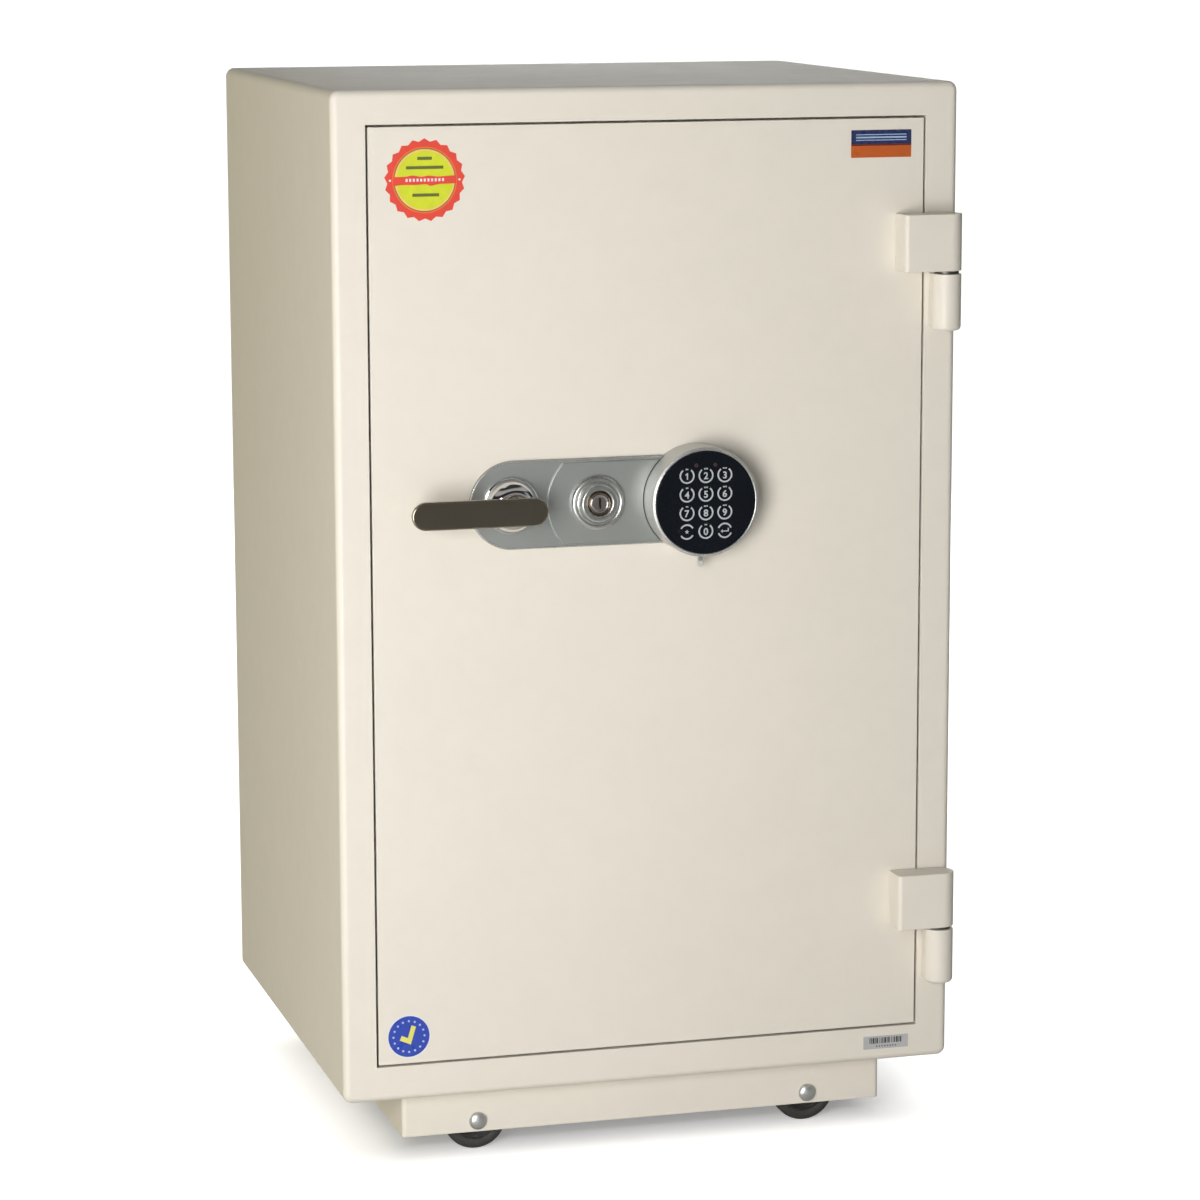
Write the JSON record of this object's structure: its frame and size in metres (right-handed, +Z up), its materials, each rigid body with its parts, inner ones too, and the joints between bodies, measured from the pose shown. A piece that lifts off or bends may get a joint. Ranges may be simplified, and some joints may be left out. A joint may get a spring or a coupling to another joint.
{
  "type": "cabinet safe",
  "caption": "Upright fire-resistant cabinet safe on a wheeled plinth, with an outside-hinged door, lever handle, key lock and round electronic keypad.",
  "frame": {"origin": "on the floor under the middle of the safe's footprint, the lever's reach in front included", "axes": "+X to the right of someone facing the door, +Y from the door to the back, +Z up"},
  "size_m": [0.55, 0.52, 0.925],
  "materials": {
    "ivory_paint": "semi-gloss ivory powder coat",
    "liner_paint": "satin grey-white paint",
    "fire_filling": "cast mineral filling",
    "bare_steel": "plain machined steel",
    "zinc_plate": "bright zinc plate",
    "silver_paint": "silver metallic paint",
    "bright_chrome": "polished chrome",
    "black_gloss": "gloss black with pale printed rings",
    "black_plastic": "moulded black plastic",
    "board_green": "green circuit board",
    "wheel_rubber": "hard black rubber",
    "seal_rubber": "soft black rubber"
  },
  "bodies": {
    "cabinet": {"outer_shell": "ivory_paint", "back_panel": "ivory_paint", "door_jamb": "ivory_paint", "cabinet_filling": "fire_filling", "inner_liner": "liner_paint", "shelf_lower": "liner_paint", "shelf_upper": "liner_paint", "plinth": "ivory_paint", "axle_bolt_front_left": "zinc_plate", "axle_bolt_front_right": "zinc_plate", "axle_bolt_rear_left": "zinc_plate", "axle_bolt_rear_right": "zinc_plate", "hinge_knuckle_lower": "ivory_paint", "hinge_knuckle_upper": "ivory_paint", "hinge_pin_lower": "bare_steel", "hinge_pin_upper": "bare_steel"},
    "wheel_front_left": {"wheel_front_left": "wheel_rubber"},
    "wheel_front_right": {"wheel_front_right": "wheel_rubber"},
    "wheel_rear_left": {"wheel_rear_left": "wheel_rubber"},
    "wheel_rear_right": {"wheel_rear_right": "wheel_rubber"},
    "door": {"door_skin": "ivory_paint", "door_filling": "fire_filling", "door_liner": "liner_paint", "mechanism_cover": "liner_paint", "door_seal": "seal_rubber", "hinge_leaf_lower": "ivory_paint", "hinge_leaf_upper": "ivory_paint", "dead_bolt_lower": "zinc_plate", "dead_bolt_upper": "zinc_plate", "escutcheon": "silver_paint", "handle_rose": "bright_chrome", "lock_bezel": "silver_paint", "key_cylinder": "bright_chrome", "keypad_housing": "silver_paint", "keypad_face": "black_gloss", "keypad_board": "board_green", "electronic_lock": "black_plastic", "lock_cable": "black_plastic"},
    "handle": {"handle_lever": "bright_chrome", "handle_spindle": "bare_steel"},
    "boltwork": {"bolt_bar": "bare_steel", "locking_bolt_lower": "zinc_plate", "locking_bolt_middle": "zinc_plate", "locking_bolt_upper": "zinc_plate"},
    "plug": {"key_plug": "bright_chrome"},
    "latch": {"electronic_lock_bolt": "bare_steel"},
    "tray": {"battery_tray": "black_plastic", "battery": "black_plastic"},
    "key_1": {"key_1": "black_gloss"},
    "key_2": {"key_2": "black_gloss"},
    "key_3": {"key_3": "black_gloss"},
    "key_4": {"key_4": "black_gloss"},
    "key_5": {"key_5": "black_gloss"},
    "key_6": {"key_6": "black_gloss"},
    "key_7": {"key_7": "black_gloss"},
    "key_8": {"key_8": "black_gloss"},
    "key_9": {"key_9": "black_gloss"},
    "key_star": {"key_star": "black_gloss"},
    "key_0": {"key_0": "black_gloss"},
    "key_enter": {"key_enter": "black_gloss"}
  },
  "joints": [
    {"name": "door_swing", "type": "hinge", "parent": "cabinet", "child": "door", "pos_m": [0.261, -0.229, 0.5], "axis": [0, 0, 1], "range_deg": [0, 180]},
    {"name": "handle_turn", "type": "hinge", "parent": "door", "child": "handle", "pos_m": [-0.125, -0.24, 0.574], "axis": [0, -1, 0], "range_deg": [0, 90]},
    {"name": "bolt_throw", "type": "slide", "parent": "door", "child": "boltwork", "axis": [-1, 0, 0], "range_m": [0, 0.022]},
    {"name": "key_turn", "type": "hinge", "parent": "door", "child": "plug", "pos_m": [-0.0495, -0.2, 0.574], "axis": [0, -1, 0], "range_deg": [0, 90]},
    {"name": "latch_drop", "type": "slide", "parent": "door", "child": "latch", "axis": [0, 0, -1], "range_m": [0, 0.008]},
    {"name": "tray_slide", "type": "slide", "parent": "door", "child": "tray", "axis": [0, 0, -1], "range_m": [0, 0.06]},
    {"name": "press_1", "type": "slide", "parent": "door", "child": "key_1", "axis": [0, 1, 0], "range_m": [0, 0.0005], "stiffness_N_per_m": 2000},
    {"name": "press_2", "type": "slide", "parent": "door", "child": "key_2", "axis": [0, 1, 0], "range_m": [0, 0.0005], "stiffness_N_per_m": 2000},
    {"name": "press_3", "type": "slide", "parent": "door", "child": "key_3", "axis": [0, 1, 0], "range_m": [0, 0.0005], "stiffness_N_per_m": 2000},
    {"name": "press_4", "type": "slide", "parent": "door", "child": "key_4", "axis": [0, 1, 0], "range_m": [0, 0.0005], "stiffness_N_per_m": 2000},
    {"name": "press_5", "type": "slide", "parent": "door", "child": "key_5", "axis": [0, 1, 0], "range_m": [0, 0.0005], "stiffness_N_per_m": 2000},
    {"name": "press_6", "type": "slide", "parent": "door", "child": "key_6", "axis": [0, 1, 0], "range_m": [0, 0.0005], "stiffness_N_per_m": 2000},
    {"name": "press_7", "type": "slide", "parent": "door", "child": "key_7", "axis": [0, 1, 0], "range_m": [0, 0.0005], "stiffness_N_per_m": 2000},
    {"name": "press_8", "type": "slide", "parent": "door", "child": "key_8", "axis": [0, 1, 0], "range_m": [0, 0.0005], "stiffness_N_per_m": 2000},
    {"name": "press_9", "type": "slide", "parent": "door", "child": "key_9", "axis": [0, 1, 0], "range_m": [0, 0.0005], "stiffness_N_per_m": 2000},
    {"name": "press_star", "type": "slide", "parent": "door", "child": "key_star", "axis": [0, 1, 0], "range_m": [0, 0.0005], "stiffness_N_per_m": 2000},
    {"name": "press_0", "type": "slide", "parent": "door", "child": "key_0", "axis": [0, 1, 0], "range_m": [0, 0.0005], "stiffness_N_per_m": 2000},
    {"name": "press_enter", "type": "slide", "parent": "door", "child": "key_enter", "axis": [0, 1, 0], "range_m": [0, 0.0005], "stiffness_N_per_m": 2000},
    {"name": "roll_front_left", "type": "hinge", "parent": "cabinet", "child": "wheel_front_left", "pos_m": [-0.1515, -0.1755, 0.028], "axis": [0, 1, 0], "continuous": true},
    {"name": "roll_front_right", "type": "hinge", "parent": "cabinet", "child": "wheel_front_right", "pos_m": [0.1515, -0.1755, 0.028], "axis": [0, 1, 0], "continuous": true},
    {"name": "roll_rear_left", "type": "hinge", "parent": "cabinet", "child": "wheel_rear_left", "pos_m": [-0.1515, 0.2205, 0.028], "axis": [0, 1, 0], "continuous": true},
    {"name": "roll_rear_right", "type": "hinge", "parent": "cabinet", "child": "wheel_rear_right", "pos_m": [0.1515, 0.2205, 0.028], "axis": [0, 1, 0], "continuous": true}
  ],
  "couplings": [
    {"joint": "bolt_throw", "follows": "handle_turn", "m_per_rad": 0.014005}
  ]
}
